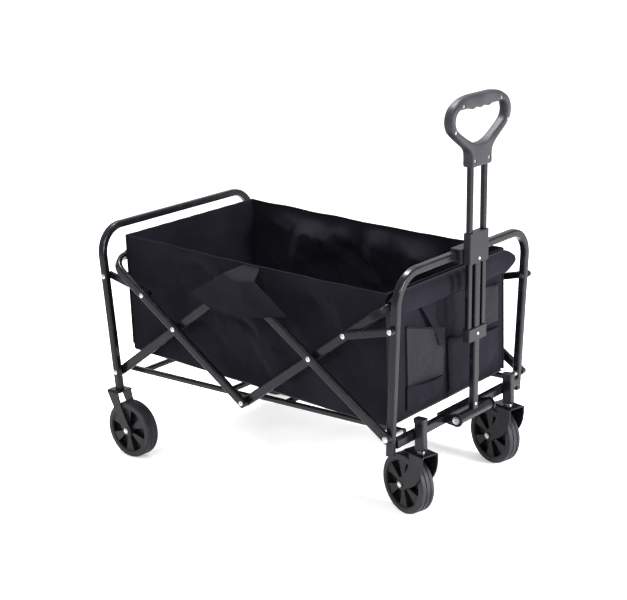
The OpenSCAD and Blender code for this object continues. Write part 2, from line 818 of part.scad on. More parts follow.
// Outline of the D grip: a neck that widens into a rounded top, with a hand hole.
// Each circle is [distance from the middle, height, radius].
module grip_outline(inset) {
    top = grip_tall;
    difference() {
        union() {
            hull() for (s = [-1, 1], c = [[30, 47.5, 14], [74, top - 49, 30], [54, top - 37, 37]])
                translate([s * c[0], c[1]]) circle(c[2] - inset);
            hull() for (s = [-1, 1], p = [[neck_half, 1], [neck_half - 1, 24], [46, 42]])
                translate([s * (p[0] - inset - 1), p[1] + (p[1] == 1 ? inset : 0)]) circle(1);
        }
        hull() for (s = [-1, 1], c = [[14, 63.5, 20], [70, top - 48, 20], [74, top - 40, 14]])
            translate([s * c[0], c[1]]) circle(c[2] + inset);
    }
}

// One half of the grip, from the parting plane out to its face
module grip_half() {
    half = grip_t / 2;
    difference() {
        union() {
            linear_extrude(half - grip_chamfer) grip_outline(0);
            linear_extrude(half) grip_outline(grip_chamfer);
        }
        for (s = [-1, 1]) translate([s * side_y - side_w / 2, -edge, -side_d / 2])
            cube([side_w, tube_into_grip + edge, side_d]);
        for (s = [-1, 1], p = screw_places) translate([s * p[0], p[1], 0]) cylinder(r = screw_r, h = 2 * half);
    }
}

// Lays the grip's drawing plane upright across the cart
module grip_plane() { translate([0, 0, grip_h]) rotate([90, 0, 90]) children(); }

module grip_front() { color(black_plastic) at_handle() grip_plane() grip_half(); }
module grip_back() { color(black_plastic) at_handle() grip_plane() mirror([0, 0, 1]) grip_half(); }

module grip_screws() {
    half = grip_t / 2;
    color(silver) at_handle() {
        grip_plane() for (s = [-1, 1], p = screw_places) translate([s * p[0], p[1], -half])
            cylinder(r = screw_r, h = 2 * half - 1.5);
        face_rivet(collar_d / 2, collar_h + collar_tall / 2);
    }
}

// ---------------------------------------------------------------- bag

// Upright panel across the cart at a distance along X
module end_wall(x, low, high, t) {
    translate([x, -side_y_in + slip, low]) cube([t, 2 * (side_y_in - slip), high - low]);
}

module bag_rear_wall() {
    color(black_cloth) end_wall(-bag_end, floor_z(-bag_end) + board_swing, bar_z + rim_rear, end_t);
}

module bag_front_wall() {
    color(black_cloth) end_wall(bag_end - end_t, floor_z(bag_end) + 3, bar_z + rim_front, end_t);
}

module bag_side() {
    end = bag_end - slip;
    translate([0, bag_half_w, 0]) rotate([90, 0, 0]) linear_extrude(cloth_t)
        polygon([[-end, floor_z(-end) - 2], [end, floor_z(end) - 2], [end, bar_z + rim_front],
                 [0, bar_z + rim_mid], [-end, bar_z + rim_rear]]);
}

module bag_side_left() { color(black_cloth) bag_side(); }
module bag_side_right() { color(black_cloth) mirror([0, 1, 0]) bag_side(); }

// Oval sleeve of fabric around the straight part of a crossbar, which turns in its bore
module sleeve(half_l) {
    translate([bar_x, 0, bar_z]) rotate([90, 0, 0]) difference() {
        linear_extrude(2 * half_l, center = true) union() {
            square([2 * sleeve_half_d, 2 * (sleeve_half_h - sleeve_half_d)], center = true);
            for (s = [-1, 1]) translate([0, s * (sleeve_half_h - sleeve_half_d)]) circle(sleeve_half_d);
        }
        cylinder(r = bar_swing_r + slip, h = 2 * half_l + edge, center = true);
    }
}

module rear_sleeve() { color(black_cloth) mirror([1, 0, 0]) sleeve(y_out - bar_bend - edge); }
module front_sleeve() { color(black_cloth) sleeve(y_in - bar_bend - edge); }

// Flat pocket sewn on the outside of the front wall
module pocket(y_from, y_to, low, high, t) {
    translate([bag_end, y_from, low]) cube([t, y_to - y_from, high - low]);
}

module mesh_pocket() {
    color(black_cloth) pocket(-bag_half_w + 45, -20, pivot_z + 68, bar_z - sleeve_half_h - 40, 3);
}

module fabric_pocket() {
    color(black_cloth) pocket(-10, bag_half_w - 20, pivot_z + 35, bar_z - sleeve_half_h - 100, 7);
}

// Flap from the rim out over the top of the scissor and down its outer side
module side_flap() {
    rim = bar_z + rim_mid;
    low = rim - 100;
    intersection() {
        translate([-200, 0, 0]) rotate([90, 0, 90]) linear_extrude(400)
            polygon([[bag_half_w + slip, rim - 1], [flap_y + flap_t, rim - 14], [flap_y + flap_t, low],
                     [flap_y, low], [flap_y, rim - 15], [bag_half_w + slip, rim - 3]]);
        translate([0, track_w, 0]) rotate([90, 0, 0]) linear_extrude(track_w)
            polygon([[-118, rim - 62], [-62, rim - 92], [5, rim - 99], [140, rim - 74],
                     [40, rim], [-20, rim]]);
    }
}

module side_flap_left() { color(black_cloth) side_flap(); }
module side_flap_right() { color(black_cloth) mirror([0, 1, 0]) side_flap(); }

// ---------------------------------------------------------------- parts

translate([x_shift, 0, 0]) {
    rear_hoop();
    rear_forks();
    rear_axles();
    rear_rim(true);  // rear_rim_left
    rear_rim(false);  // rear_rim_right
    rear_tyre(true);  // rear_tyre_left
    rear_tyre(false);  // rear_tyre_right
    front_hoop();
    front_cross_tube();
    castor_stems();
    stem_caps();
    stem_bushes();
    front_fork(true);  // front_fork_left
    front_fork(false);  // front_fork_right
    castor_pin(true);  // castor_pin_left
    castor_pin(false);  // castor_pin_right
    front_axle(true);  // front_axle_left
    front_axle(false);  // front_axle_right
    front_rim(true);  // front_rim_left
    front_rim(false);  // front_rim_right
    front_tyre(true);  // front_tyre_left
    front_tyre(false);  // front_tyre_right
    rear_top_tube();
    front_top_tube();
    rear_foot_bars();
    front_foot_bars();
    rear_stays();
    front_stays();
    rear_frame_rivets();
    front_frame_rivets();
    rear_bar_rivets();
    top_tube_rivets();
    front_bar_rivets();
    front_stay_rivets();
    rear_floor_frame();
    front_floor_frame();
    rail_plugs();
    rear_floor_board();
    front_floor_board();
    floor_centre_strip();
    handle_saddle();
    handle_pivot_bolt();
    handle_stem();
    handle_top_block();
    handle_rivets();
    handle_collar();
    side_tubes();
    grip_front();
    grip_back();
    grip_screws();
    bag_rear_wall();
    bag_front_wall();
    bag_side_left();
    bag_side_right();
    rear_sleeve();
    front_sleeve();
    mesh_pocket();
    fabric_pocket();
    side_flap_left();
    side_flap_right();
}
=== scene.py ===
"""Looks of the folding beach cart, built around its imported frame.

The metal, the wheels and the hardware are the frame's own pieces with their finishes put on. The bag,
its pockets and flaps, its floor and the grip are modelled here and stand for the frame's plain solids.
All sizes are in metres, in the frame's own axes: +X towards the handle, +Y to the left, +Z up.
"""

from __future__ import annotations

import json
import logging
import math
from dataclasses import dataclass
from enum import Enum
from typing import Callable, Sequence

import bpy
from mathutils import Matrix, Vector, noise


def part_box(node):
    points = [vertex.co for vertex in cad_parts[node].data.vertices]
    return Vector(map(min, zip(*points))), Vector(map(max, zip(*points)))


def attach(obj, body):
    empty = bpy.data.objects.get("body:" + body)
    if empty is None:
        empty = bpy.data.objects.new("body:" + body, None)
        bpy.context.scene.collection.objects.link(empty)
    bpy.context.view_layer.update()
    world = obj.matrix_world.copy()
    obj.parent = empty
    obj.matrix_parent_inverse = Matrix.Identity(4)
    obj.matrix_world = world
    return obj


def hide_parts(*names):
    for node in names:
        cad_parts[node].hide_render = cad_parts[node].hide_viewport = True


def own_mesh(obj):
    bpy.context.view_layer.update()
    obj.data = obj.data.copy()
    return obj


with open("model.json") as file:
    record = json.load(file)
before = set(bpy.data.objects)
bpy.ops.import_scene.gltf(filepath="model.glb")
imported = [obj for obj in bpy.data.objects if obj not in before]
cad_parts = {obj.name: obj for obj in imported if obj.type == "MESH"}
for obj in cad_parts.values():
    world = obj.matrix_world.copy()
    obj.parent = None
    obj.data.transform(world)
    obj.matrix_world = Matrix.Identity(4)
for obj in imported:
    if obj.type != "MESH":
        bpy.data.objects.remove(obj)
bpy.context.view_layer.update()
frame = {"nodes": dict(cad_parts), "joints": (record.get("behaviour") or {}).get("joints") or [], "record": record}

LOG = logging.getLogger("beach_cart")
Point = tuple[float, float, float]
Colour = tuple[float, float, float]


# ------------------------------------------------------------------------------ shader tools


class Wire:
    """A shader value that can be used in ordinary arithmetic."""

    def __init__(self, nodes: "Nodes", socket: bpy.types.NodeSocket) -> None:
        """Wraps one output socket.

        Args:
            nodes: The node builder that owns the socket's tree.
            socket: The output socket.
        """
        self.nodes = nodes
        self.socket = socket

    def _math(self, operation: str, *values: "Wire | float") -> "Wire":
        """Adds a Math node and returns its result."""
        return self.nodes.add("ShaderNodeMath", {"operation": operation}, dict(enumerate(values)))

    def __add__(self, other: "Wire | float") -> "Wire":
        """self + other."""
        return self._math("ADD", self, other)

    def __sub__(self, other: "Wire | float") -> "Wire":
        """self - other."""
        return self._math("SUBTRACT", self, other)

    def __mul__(self, other: "Wire | float") -> "Wire":
        """self * other."""
        return self._math("MULTIPLY", self, other)

    def __rsub__(self, other: float) -> "Wire":
        """other - self."""
        return self._math("SUBTRACT", other, self)

    __radd__ = __add__
    __rmul__ = __mul__

    def wave(self, period: float) -> "Wire":
        """A sine of the value.

        Args:
            period: Distance from crest to crest.

        Returns:
            A value from -1 to 1.
        """
        return self._math("SINE", self * (2 * math.pi / period))

    def at_least(self, floor: "Wire | float") -> "Wire":
        """The larger of the value and floor."""
        return self._math("MAXIMUM", self, floor)

    def above(self, limit: float) -> "Wire":
        """1 where the value is over the limit, else 0."""
        return self._math("GREATER_THAN", self, limit)

    def between(self, low: float, high: float) -> "Wire":
        """The value stretched so that low becomes 0 and high becomes 1, held at both ends."""
        ends = {"From Min": low, "From Max": high, "To Min": 0.0, "To Max": 1.0, "Value": self}
        return self.nodes.add("ShaderNodeMapRange", {"clamp": True}, ends)


class Nodes:
    """Builds the node tree of one material."""

    def __init__(self, name: str) -> None:
        """Starts an empty material.

        Args:
            name: The material's name.
        """
        self.material = bpy.data.materials.new(name)
        self.material.use_nodes = True
        self.tree = self.material.node_tree
        self.tree.nodes.clear()
        self.places: dict[str, Wire] = {}

    def add(self, kind: str, settings: dict, values: dict, out: int | str = 0) -> Wire:
        """Adds one node.

        Args:
            kind: The node's type.
            settings: Properties to set first, such as a Math node's operation.
            values: Input socket names or numbers, with the value or wire for each.
            out: The output to return.

        Returns:
            The chosen output as a wire.
        """
        node = self.tree.nodes.new(kind)
        for key, value in settings.items():
            setattr(node, key, value)
        for key, value in values.items():
            self.feed(node.inputs[key], value)
        return Wire(self, node.outputs[out])

    def feed(self, socket: bpy.types.NodeSocket, value: "Wire | float | Sequence[float]") -> None:
        """Links a wire to an input socket, or sets the socket to a value."""
        if isinstance(value, Wire):
            self.tree.links.new(value.socket, socket)
        else:
            socket.default_value = value

    def place(self, axis: str) -> Wire:
        """One coordinate of the surface point, in the piece's own axes, in metres."""
        if not self.places:
            here = self.add("ShaderNodeTexCoord", {}, {}, "Object")
            self.places["point"] = here
            for name in "XYZ":
                self.places[name] = self.add("ShaderNodeSeparateXYZ", {}, {0: here}, name)
        return self.places[axis]

    def noise(self, scale: float, detail: float = 2.0) -> Wire:
        """Cloudy noise from 0 to 1.

        Args:
            scale: Features per metre.
            detail: Octaves of finer noise.

        Returns:
            The noise value.
        """
        self.place("point")
        settings = {"Vector": self.places["point"], "Scale": scale, "Detail": detail}
        return self.add("ShaderNodeTexNoise", {}, settings)

    def blend(self, share: Wire, low: Colour, high: Colour) -> Wire:
        """A colour between two others."""
        node = self.tree.nodes.new("ShaderNodeMix")
        node.data_type = "RGBA"
        self.feed(node.inputs[0], share)
        self.feed(node.inputs[6], (*low, 1.0))
        self.feed(node.inputs[7], (*high, 1.0))
        return Wire(self, node.outputs[2])

    def bump(self, height: Wire, depth: float) -> Wire:
        """A normal from a height that runs from 0 to 1 over the given depth in metres."""
        return self.add("ShaderNodeBump", {}, {"Height": height, "Distance": depth, "Strength": 1.0})

    def surface(self, values: dict) -> bpy.types.Material:
        """Adds the surface shader and the output.

        Args:
            values: Shader inputs by name.

        Returns:
            The finished material.
        """
        shader = self.add("ShaderNodeBsdfPrincipled", {}, values)
        self.add_output(shader)
        return self.material

    def add_output(self, shader: Wire) -> None:
        """Ends the tree in a shader."""
        node = self.tree.nodes.new("ShaderNodeOutputMaterial")
        self.feed(node.inputs["Surface"], shader)


# ------------------------------------------------------------------------------ finishes


@dataclass(frozen=True)
class PowderCoat:
    """Black satin powder coat over steel tube, with faint orange peel and dull scuffs."""

    colour: Colour = (0.0040, 0.0038, 0.0058)
    scuffed: Colour = (0.0085, 0.0082, 0.0112)
    peel_depth: float = 0.00004

    def make(self, name: str) -> bpy.types.Material:
        """Builds the material.

        Args:
            name: The material's name.

        Returns:
            The material.
        """
        nodes = Nodes(name)
        scuff = nodes.noise(38, 4).between(0.52, 0.72)
        fine = nodes.noise(900, 1)
        return nodes.surface({
            "Base Color": nodes.blend(scuff, self.colour, self.scuffed),
            "Roughness": 0.24 + scuff * 0.12,
            "Specular IOR Level": 0.15,
            "Coat Weight": 0.035,
            "Coat Roughness": 0.12,
            "Normal": nodes.bump(fine, self.peel_depth),
        })


@dataclass(frozen=True)
class PlatedSteel:
    """Zinc-plated rivets, bolts and screws, a little clouded."""

    colour: Colour = (0.56, 0.56, 0.58)
    clouded: Colour = (0.34, 0.34, 0.34)

    def make(self, name: str) -> bpy.types.Material:
        """Builds the material.

        Args:
            name: The material's name.

        Returns:
            The material.
        """
        nodes = Nodes(name)
        cloud = nodes.noise(220, 3).between(0.4, 0.7)
        return nodes.surface({
            "Base Color": nodes.blend(cloud, self.colour, self.clouded),
            "Metallic": 1.0,
            "Roughness": 0.22 + cloud * 0.2,
        })


@dataclass(frozen=True)
class Moulded:
    """Moulded plastic or rubber with a fine grain and a few duller patches."""

    colour: Colour
    worn: Colour
    roughness: float
    grain: float = 1400.0
    grain_depth: float = 0.00005

    def make(self, name: str) -> bpy.types.Material:
        """Builds the material.

        Args:
            name: The material's name.

        Returns:
            The material.
        """
        nodes = Nodes(name)
        patch = nodes.noise(24, 4).between(0.45, 0.7)
        return nodes.surface({
            "Base Color": nodes.blend(patch, self.colour, self.worn),
            "Roughness": self.roughness + patch * 0.10,
            "Specular IOR Level": 0.20,
            "Normal": nodes.bump(nodes.noise(self.grain, 1), self.grain_depth),
        })


@dataclass(frozen=True)
class WovenCloth:
    """Coated plain-weave polyester, its threads along two of the piece's axes."""

    across: str
    along: str
    colour: Colour = (0.0036, 0.0031, 0.0056)
    faded: Colour = (0.0074, 0.0066, 0.0108)
    thread: float = 0.0011
    thread_depth: float = 0.00011

    def make(self, name: str) -> bpy.types.Material:
        """Builds the material.

        Args:
            name: The material's name.

        Returns:
            The material.
        """
        nodes = Nodes(name)
        warp = nodes.place(self.across).wave(self.thread)
        weft = nodes.place(self.along).wave(self.thread)
        weave = (warp * weft) * 0.5 + 0.5
        cloud = nodes.noise(9, 5).between(0.35, 0.72)
        slub = nodes.noise(160, 2)
        return nodes.surface({
            "Base Color": nodes.blend(cloud, self.colour, self.faded),
            "Roughness": 0.72 + slub * 0.16,
            "Specular IOR Level": 0.07,
            "Sheen Weight": 0.015,
            "Sheen Roughness": 0.45,
            "Sheen Tint": (0.80, 0.80, 0.95, 1.0),
            "Normal": nodes.bump(weave * 0.8 + slub * 0.2, self.thread_depth),
        })


@dataclass(frozen=True)
class OpenMesh:
    """Knitted pocket mesh: a slanted grid of threads with holes between them."""

    across: str = "Y"
    along: str = "Z"
    pitch: float = 0.0070
    colour: Colour = (0.0130, 0.0130, 0.0155)

    def make(self, name: str) -> bpy.types.Material:
        """Builds the material.

        Args:
            name: The material's name.

        Returns:
            The material.
        """
        nodes = Nodes(name)
        side, up = nodes.place(self.across), nodes.place(self.along)
        one = (side + up).wave(self.pitch)
        other = (side - up).wave(self.pitch)
        threads = one.at_least(other)
        cloud = nodes.noise(40, 2)
        return nodes.surface({
            "Base Color": nodes.blend(cloud, self.colour, tuple(2.0 * c for c in self.colour)),
            "Roughness": 0.55 + cloud * 0.2,
            "Specular IOR Level": 0.15,
            "Alpha": threads.above(0.62),
            "Normal": nodes.bump(threads, 0.0004),
        })


class Finish(Enum):
    """Every finish on the cart, by its slot in the record."""

    POWDER = ("powder_coat", PowderCoat())
    STEEL = ("rivet_steel", PlatedSteel())
    WHEEL = ("wheel_plastic", Moulded((0.0030, 0.0030, 0.0040), (0.0060, 0.0060, 0.0072), 0.42))
    TYRE = ("tyre_rubber", Moulded((0.0100, 0.0098, 0.0128), (0.0220, 0.0216, 0.0255), 0.50, 700, 0.00012))
    CAP = ("cap_plastic", Moulded((0.0065, 0.0063, 0.0085), (0.0115, 0.0112, 0.0140), 0.42))
    GRIP = ("grip_plastic", Moulded((0.0180, 0.0175, 0.0220), (0.0260, 0.0255, 0.0300), 0.48, 1100, 0.00009))
    SIDE_CLOTH = ("bag_cloth", WovenCloth("X", "Z"))
    END_CLOTH = ("bag_cloth", WovenCloth("Y", "Z"))
    FLOOR_CLOTH = ("floor_cloth", WovenCloth("X", "Y"))
    MESH = ("bag_mesh", OpenMesh())

    @property
    def slot(self) -> str:
        """The record's material slot."""
        return self.value[0]

    def material(self) -> bpy.types.Material:
        """The finish's material, made once."""
        name = self.name.lower()
        return bpy.data.materials.get(name) or self.value[1].make(name)


# ------------------------------------------------------------------------------ modelling tools


def lerp(low: float, high: float, share: float) -> float:
    """The value a share of the way from low to high."""
    return low + (high - low) * share


def smooth(share: float) -> float:
    """A share eased at both ends, held within 0 and 1."""
    share = min(1.0, max(0.0, share))
    return share * share * (3 - 2 * share)


def along_line(points: Sequence[tuple[float, float]], x: float) -> float:
    """Height at x of a line through points.

    Args:
        points: (x, height) pairs in order of x.
        x: Where to read it.

    Returns:
        The height, held past both ends.
    """
    for (x0, h0), (x1, h1) in zip(points, points[1:]):
        if x <= x1:
            return lerp(h0, h1, min(1.0, max(0.0, (x - x0) / (x1 - x0))))
    return points[-1][1]


class Bench:
    """Adds primitives, shapes them and finishes them."""

    @staticmethod
    def clear() -> None:
        """Leaves nothing selected, in object mode."""
        if bpy.context.object and bpy.context.object.mode != "OBJECT":
            bpy.ops.object.mode_set(mode="OBJECT")
        bpy.ops.object.select_all(action="DESELECT")

    @staticmethod
    def named(name: str) -> bpy.types.Object:
        """Names the new primitive and puts its place into its mesh."""
        piece = bpy.context.object
        piece.name = name
        piece.data.name = name
        bpy.ops.object.transform_apply(location=True, rotation=True, scale=True)
        return piece

    @classmethod
    def grid(cls, name: str, columns: int, rows: int,
             at: Callable[[float, float], Point]) -> bpy.types.Object:
        """A sheet of quads laid on a curved patch.

        Args:
            name: The piece's name.
            columns: Quads across.
            rows: Quads up.
            at: Gives the place of the point that is a share u across and v up.

        Returns:
            The new piece.
        """
        cls.clear()
        bpy.ops.mesh.primitive_grid_add(x_subdivisions=columns, y_subdivisions=rows, size=1)
        piece = cls.named(name)
        for vertex in piece.data.vertices:
            vertex.co = at(vertex.co.x + 0.5, vertex.co.y + 0.5)
        return piece

    @classmethod
    def modify(cls, piece: bpy.types.Object, kind: str, **settings: object) -> None:
        """Adds a modifier with these settings and applies it."""
        cls.clear()
        piece.select_set(True)
        bpy.context.view_layer.objects.active = piece
        modifier = piece.modifiers.new(kind.title(), kind)
        for key, value in settings.items():
            setattr(modifier, key, value)
        bpy.ops.object.modifier_apply(modifier=modifier.name)

    @classmethod
    def weld(cls, piece: bpy.types.Object, distance: float = 1e-5) -> None:
        """Merges doubled points and turns all faces outwards."""
        cls.clear()
        piece.select_set(True)
        bpy.context.view_layer.objects.active = piece
        bpy.ops.object.mode_set(mode="EDIT")
        bpy.ops.mesh.select_all(action="SELECT")
        bpy.ops.mesh.remove_doubles(threshold=distance)
        bpy.ops.mesh.normals_make_consistent(inside=False)
        bpy.ops.object.mode_set(mode="OBJECT")

    @classmethod
    def soften(cls, piece: bpy.types.Object, angle: float = 40.0) -> None:
        """Shades the piece smooth, with creases where faces meet at more than the angle in degrees."""
        cls.clear()
        piece.select_set(True)
        bpy.context.view_layer.objects.active = piece
        bpy.ops.object.shade_smooth_by_angle(angle=math.radians(angle))

    @classmethod
    def cord(cls, name: str, points: Sequence[Point], radius: float) -> bpy.types.Object:
        """A thin round bead through points, such as a seam's piping."""
        curve = bpy.data.curves.new(name, "CURVE")
        curve.dimensions = "3D"
        curve.bevel_depth = radius
        curve.bevel_resolution = 2
        curve.use_fill_caps = True
        spline = curve.splines.new("POLY")
        spline.points.add(len(points) - 1)
        for point, place in zip(spline.points, points):
            point.co = (*place, 1.0)
        cls.clear()
        piece = bpy.data.objects.new(name, curve)
        bpy.context.scene.collection.objects.link(piece)
        piece.select_set(True)
        bpy.context.view_layer.objects.active = piece
        bpy.ops.object.convert(target="MESH")
        cls.soften(piece, 60)
        return piece


@dataclass
class Piece:
    """One finished piece: what it is made of, what it rides on and what it stands for."""

    body: bpy.types.Object
    finish: Finish
    rides: str
    replaces: tuple[str, ...] = ()

    def fit(self) -> bpy.types.Object:
        """Puts the finish on, and ties the piece to its body and nodes.

        Returns:
            The finished object.
        """
        self.body.data.materials.clear()
        self.body.data.materials.append(self.finish.material())
        self.finish.slot
        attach(self.body, self.rides)
        if self.replaces:
            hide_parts(*self.replaces)
        LOG.info("%s: %d faces on %s", self.body.name, len(self.body.data.polygons), self.rides)
        return self.body


# ------------------------------------------------------------------------------ metal and wheels


class Metalwork:
    """The frame's own pieces, dressed with their finishes."""

    by_slot = {
        "powder_coat": Finish.POWDER,
        "rivet_steel": Finish.STEEL,
        "wheel_plastic": Finish.WHEEL,
        "tyre_rubber": Finish.TYRE,
        "cap_plastic": Finish.CAP,
        "grip_plastic": Finish.GRIP,
        "bag_cloth": Finish.SIDE_CLOTH,
        "bag_mesh": Finish.END_CLOTH,
        "floor_cloth": Finish.FLOOR_CLOTH,
    }

    def dress(self) -> None:
        """Puts each node's finish on it."""
        for part in frame["record"]["subparts"]:
            piece = frame["nodes"][part["node"]]
            finish = self.by_slot[part["material_slot"]]
            piece.data.materials.clear()
            piece.data.materials.append(finish.material())
            finish.slot
        LOG.info("dressed %d nodes", len(frame["nodes"]))


@dataclass
class Grip:
    """The D grip: two moulded shells, with finger ridges along the top of the hand hole.

    Each rib is (outline side, outline height, hole side, hole height) for half of the grip, from the
    bottom of the neck to the top of the hand bar.
    """

    ribs: tuple[tuple[float, float, float, float], ...] = (
        (0.0000, 0.0000, 0.0000, 0.0435), (0.0170, 0.0000, 0.0070, 0.0436),
        (0.0325, 0.0004, 0.0120, 0.0439), (0.0335, 0.0120, 0.0160, 0.0443),
        (0.0345, 0.0240, 0.0210, 0.0456), (0.0380, 0.0315, 0.0270, 0.0480),
        (0.0460, 0.0385, 0.0360, 0.0526), (0.0680, 0.0530, 0.0550, 0.0630),
        (0.0880, 0.0675, 0.0730, 0.0736), (0.0995, 0.0800, 0.0840, 0.0820),
        (0.1035, 0.0930, 0.0895, 0.0920), (0.1020, 0.1070, 0.0890, 0.1030),
        (0.0950, 0.1200, 0.0830, 0.1115), (0.0820, 0.1300, 0.0730, 0.1154),
        (0.0640, 0.1375, 0.0600, 0.1155), (0.0400, 0.1410, 0.0400, 0.1155),
        (0.0200, 0.1413, 0.0200, 0.1155), (0.0000, 0.1413, 0.0000, 0.1155),
    )
    steps_per_rib: int = 5
    around: int = 36
    ridge_gap: float = 0.027
    ridge_height: float = 0.0032
    ridge_span: float = 0.047
    neck_edge: float = 0.0035
    bar_edge: float = 0.009
    hole_radius: float = 0.0042
    hole_depth: float = 0.0022
    parting: float = 0.0002
    thickness: float = 0.024
    screws: tuple[tuple[float, float], ...] = ((0.0245, 0.012), (0.0905, 0.077), (0.066, 0.1235))

    def ring(self) -> list[tuple[Vector, Vector]]:
        """Outline and hole points all the way round, from the bottom of the neck."""
        whole = list(self.ribs) + [(-a, b, -c, d) for a, b, c, d in reversed(self.ribs[1:-1])]
        count = len(whole)
        places = []
        for i in range(count):
            knots = [Vector(whole[(i + k) % count]) for k in (-1, 0, 1, 2)]
            for step in range(self.steps_per_rib):
                t = step / self.steps_per_rib
                rib = 0.5 * (2 * knots[1] + (knots[2] - knots[0]) * t
                             + (2 * knots[0] - 5 * knots[1] + 4 * knots[2] - knots[3]) * t * t
                             + (3 * knots[1] - knots[0] - 3 * knots[2] + knots[3]) * t ** 3)
                hole = Vector((rib[2], rib[3]))
                if hole.y > 0.1:
                    fade = smooth((self.ridge_span - abs(hole.x)) / 0.012)
                    wave = 0.5 + 0.5 * math.cos(2 * math.pi * hole.x / self.ridge_gap)
                    hole.y -= self.ridge_height * wave * fade
                places.append((Vector((rib[0], rib[1])), hole))
        return places

    def ring_point(self, outer: Vector, hole: Vector, tilt: float) -> Point:
        """Place on the grip's rounded cross-section.

        Args:
            outer: (side, height) of the outline at this place.
            hole: (side, height) of the hole's edge at this place.
            tilt: Angle round the cross-section, 0 at the outline.

        Returns:
            The point, with the shells' parting plane at x = 0.
        """
        c, s = math.cos(tilt), math.sin(tilt)
        half, deep = (outer - hole).length / 2, self.thickness / 2
        height = (outer.y + hole.y) / 2
        edge = min(0.96 * half, lerp(self.neck_edge, self.bar_edge, smooth((height - 0.030) / 0.030)))
        across = math.copysign(half - edge, c) + edge * c
        depth = math.copysign(deep - edge, s) + edge * s if abs(s) > 1e-6 else 0.0
        middle = (outer + hole) / 2 + (outer - hole).normalized() * across
        return depth, middle.x, middle.y

    def drill(self, shell: bpy.types.Object, turn: Matrix, side: int) -> None:
        """Sinks the screw holes into one shell's face."""
        for across, up in [(s * a, b) for a, b in self.screws for s in (-1, 1)]:
            Bench.clear()
            bpy.ops.mesh.primitive_cylinder_add(
                vertices=20, radius=self.hole_radius, depth=2 * self.hole_depth)
            bit = Bench.named("bit")
            bit.data.transform(turn @ Matrix.Translation((side * self.thickness / 2, across, up))
                               @ Matrix.Rotation(math.pi / 2, 4, "Y"))
            Bench.modify(shell, "BOOLEAN", operation="DIFFERENCE", object=bit, solver="EXACT")
            bpy.data.objects.remove(bit)

    def build(self) -> None:
        """Makes both shells and fits them."""
        front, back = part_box("grip_front"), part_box("grip_back")
        lean = math.atan2(frame_axis("handle_extend").x, frame_axis("handle_extend").z)
        pivot = Vector(joint("handle_tilt")["pos_m"])
        foot = (back[0].z - pivot.z) / math.cos(lean)
        run = front[1].x - back[0].x - (front[1].z - front[0].z) * math.sin(lean)
        self.thickness = run / math.cos(lean)
        LOG.info("grip stands %.4f m up the handle and is %.4f m thick", foot, self.thickness)
        places = self.ring()
        Bench.clear()
        bpy.ops.mesh.primitive_torus_add(
            major_segments=len(places), minor_segments=self.around, major_radius=1.0, minor_radius=0.3)
        whole = Bench.named("grip_ring")
        for vertex in whole.data.vertices:
            turn = math.atan2(vertex.co.y, vertex.co.x) / (2 * math.pi)
            outer, hole = places[round(turn * len(places)) % len(places)]
            tilt = math.atan2(vertex.co.z, math.hypot(vertex.co.x, vertex.co.y) - 1.0)
            vertex.co = self.ring_point(outer, hole, tilt)
        turn = Matrix.Translation(pivot) @ Matrix.Rotation(lean, 4, "Y") @ Matrix.Translation((0, 0, foot))
        for side, name in ((1, "grip_front"), (-1, "grip_back")):
            shell = whole.copy()
            shell.data = whole.data.copy()
            bpy.context.scene.collection.objects.link(shell)
            shell.name = f"{name}_shell"
            Bench.clear()
            shell.select_set(True)
            bpy.context.view_layer.objects.active = shell
            bpy.ops.object.mode_set(mode="EDIT")
            bpy.ops.mesh.select_all(action="SELECT")
            bpy.ops.mesh.bisect(plane_co=(side * self.parting, 0, 0), plane_no=(side, 0, 0),
                                use_fill=True, clear_inner=True)
            bpy.ops.object.mode_set(mode="OBJECT")
            shell.data.transform(turn)
            Bench.weld(shell)
            self.drill(shell, turn, side)
            Bench.soften(shell, 35)
            Piece(shell, Finish.GRIP, "handle_slide", (name,)).fit()
        bpy.data.objects.remove(whole)


def joint(name: str) -> dict:
    """The frame's joint of that name."""
    return next(j for j in frame["joints"] if j["name"] == name)


def frame_axis(name: str) -> Vector:
    """The axis of the frame's joint of that name."""
    return Vector(joint(name)["axis"])


# ------------------------------------------------------------------------------ the bag


@dataclass(frozen=True)
class Crease:
    """A sharp fold left in the cloth, from one (x, z) place to another."""

    start: tuple[float, float]
    end: tuple[float, float]
    depth: float
    width: float

    def at(self, x: float, z: float) -> float:
        """How far the fold pushes the cloth at (x, z)."""
        a, b, p = Vector(self.start), Vector(self.end), Vector((x, z))
        run = b - a
        share = min(1.0, max(0.0, (p - a).dot(run) / run.length_squared))
        distance = (p - a - run * share).length
        return self.depth * max(0.0, 1 - distance / self.width)


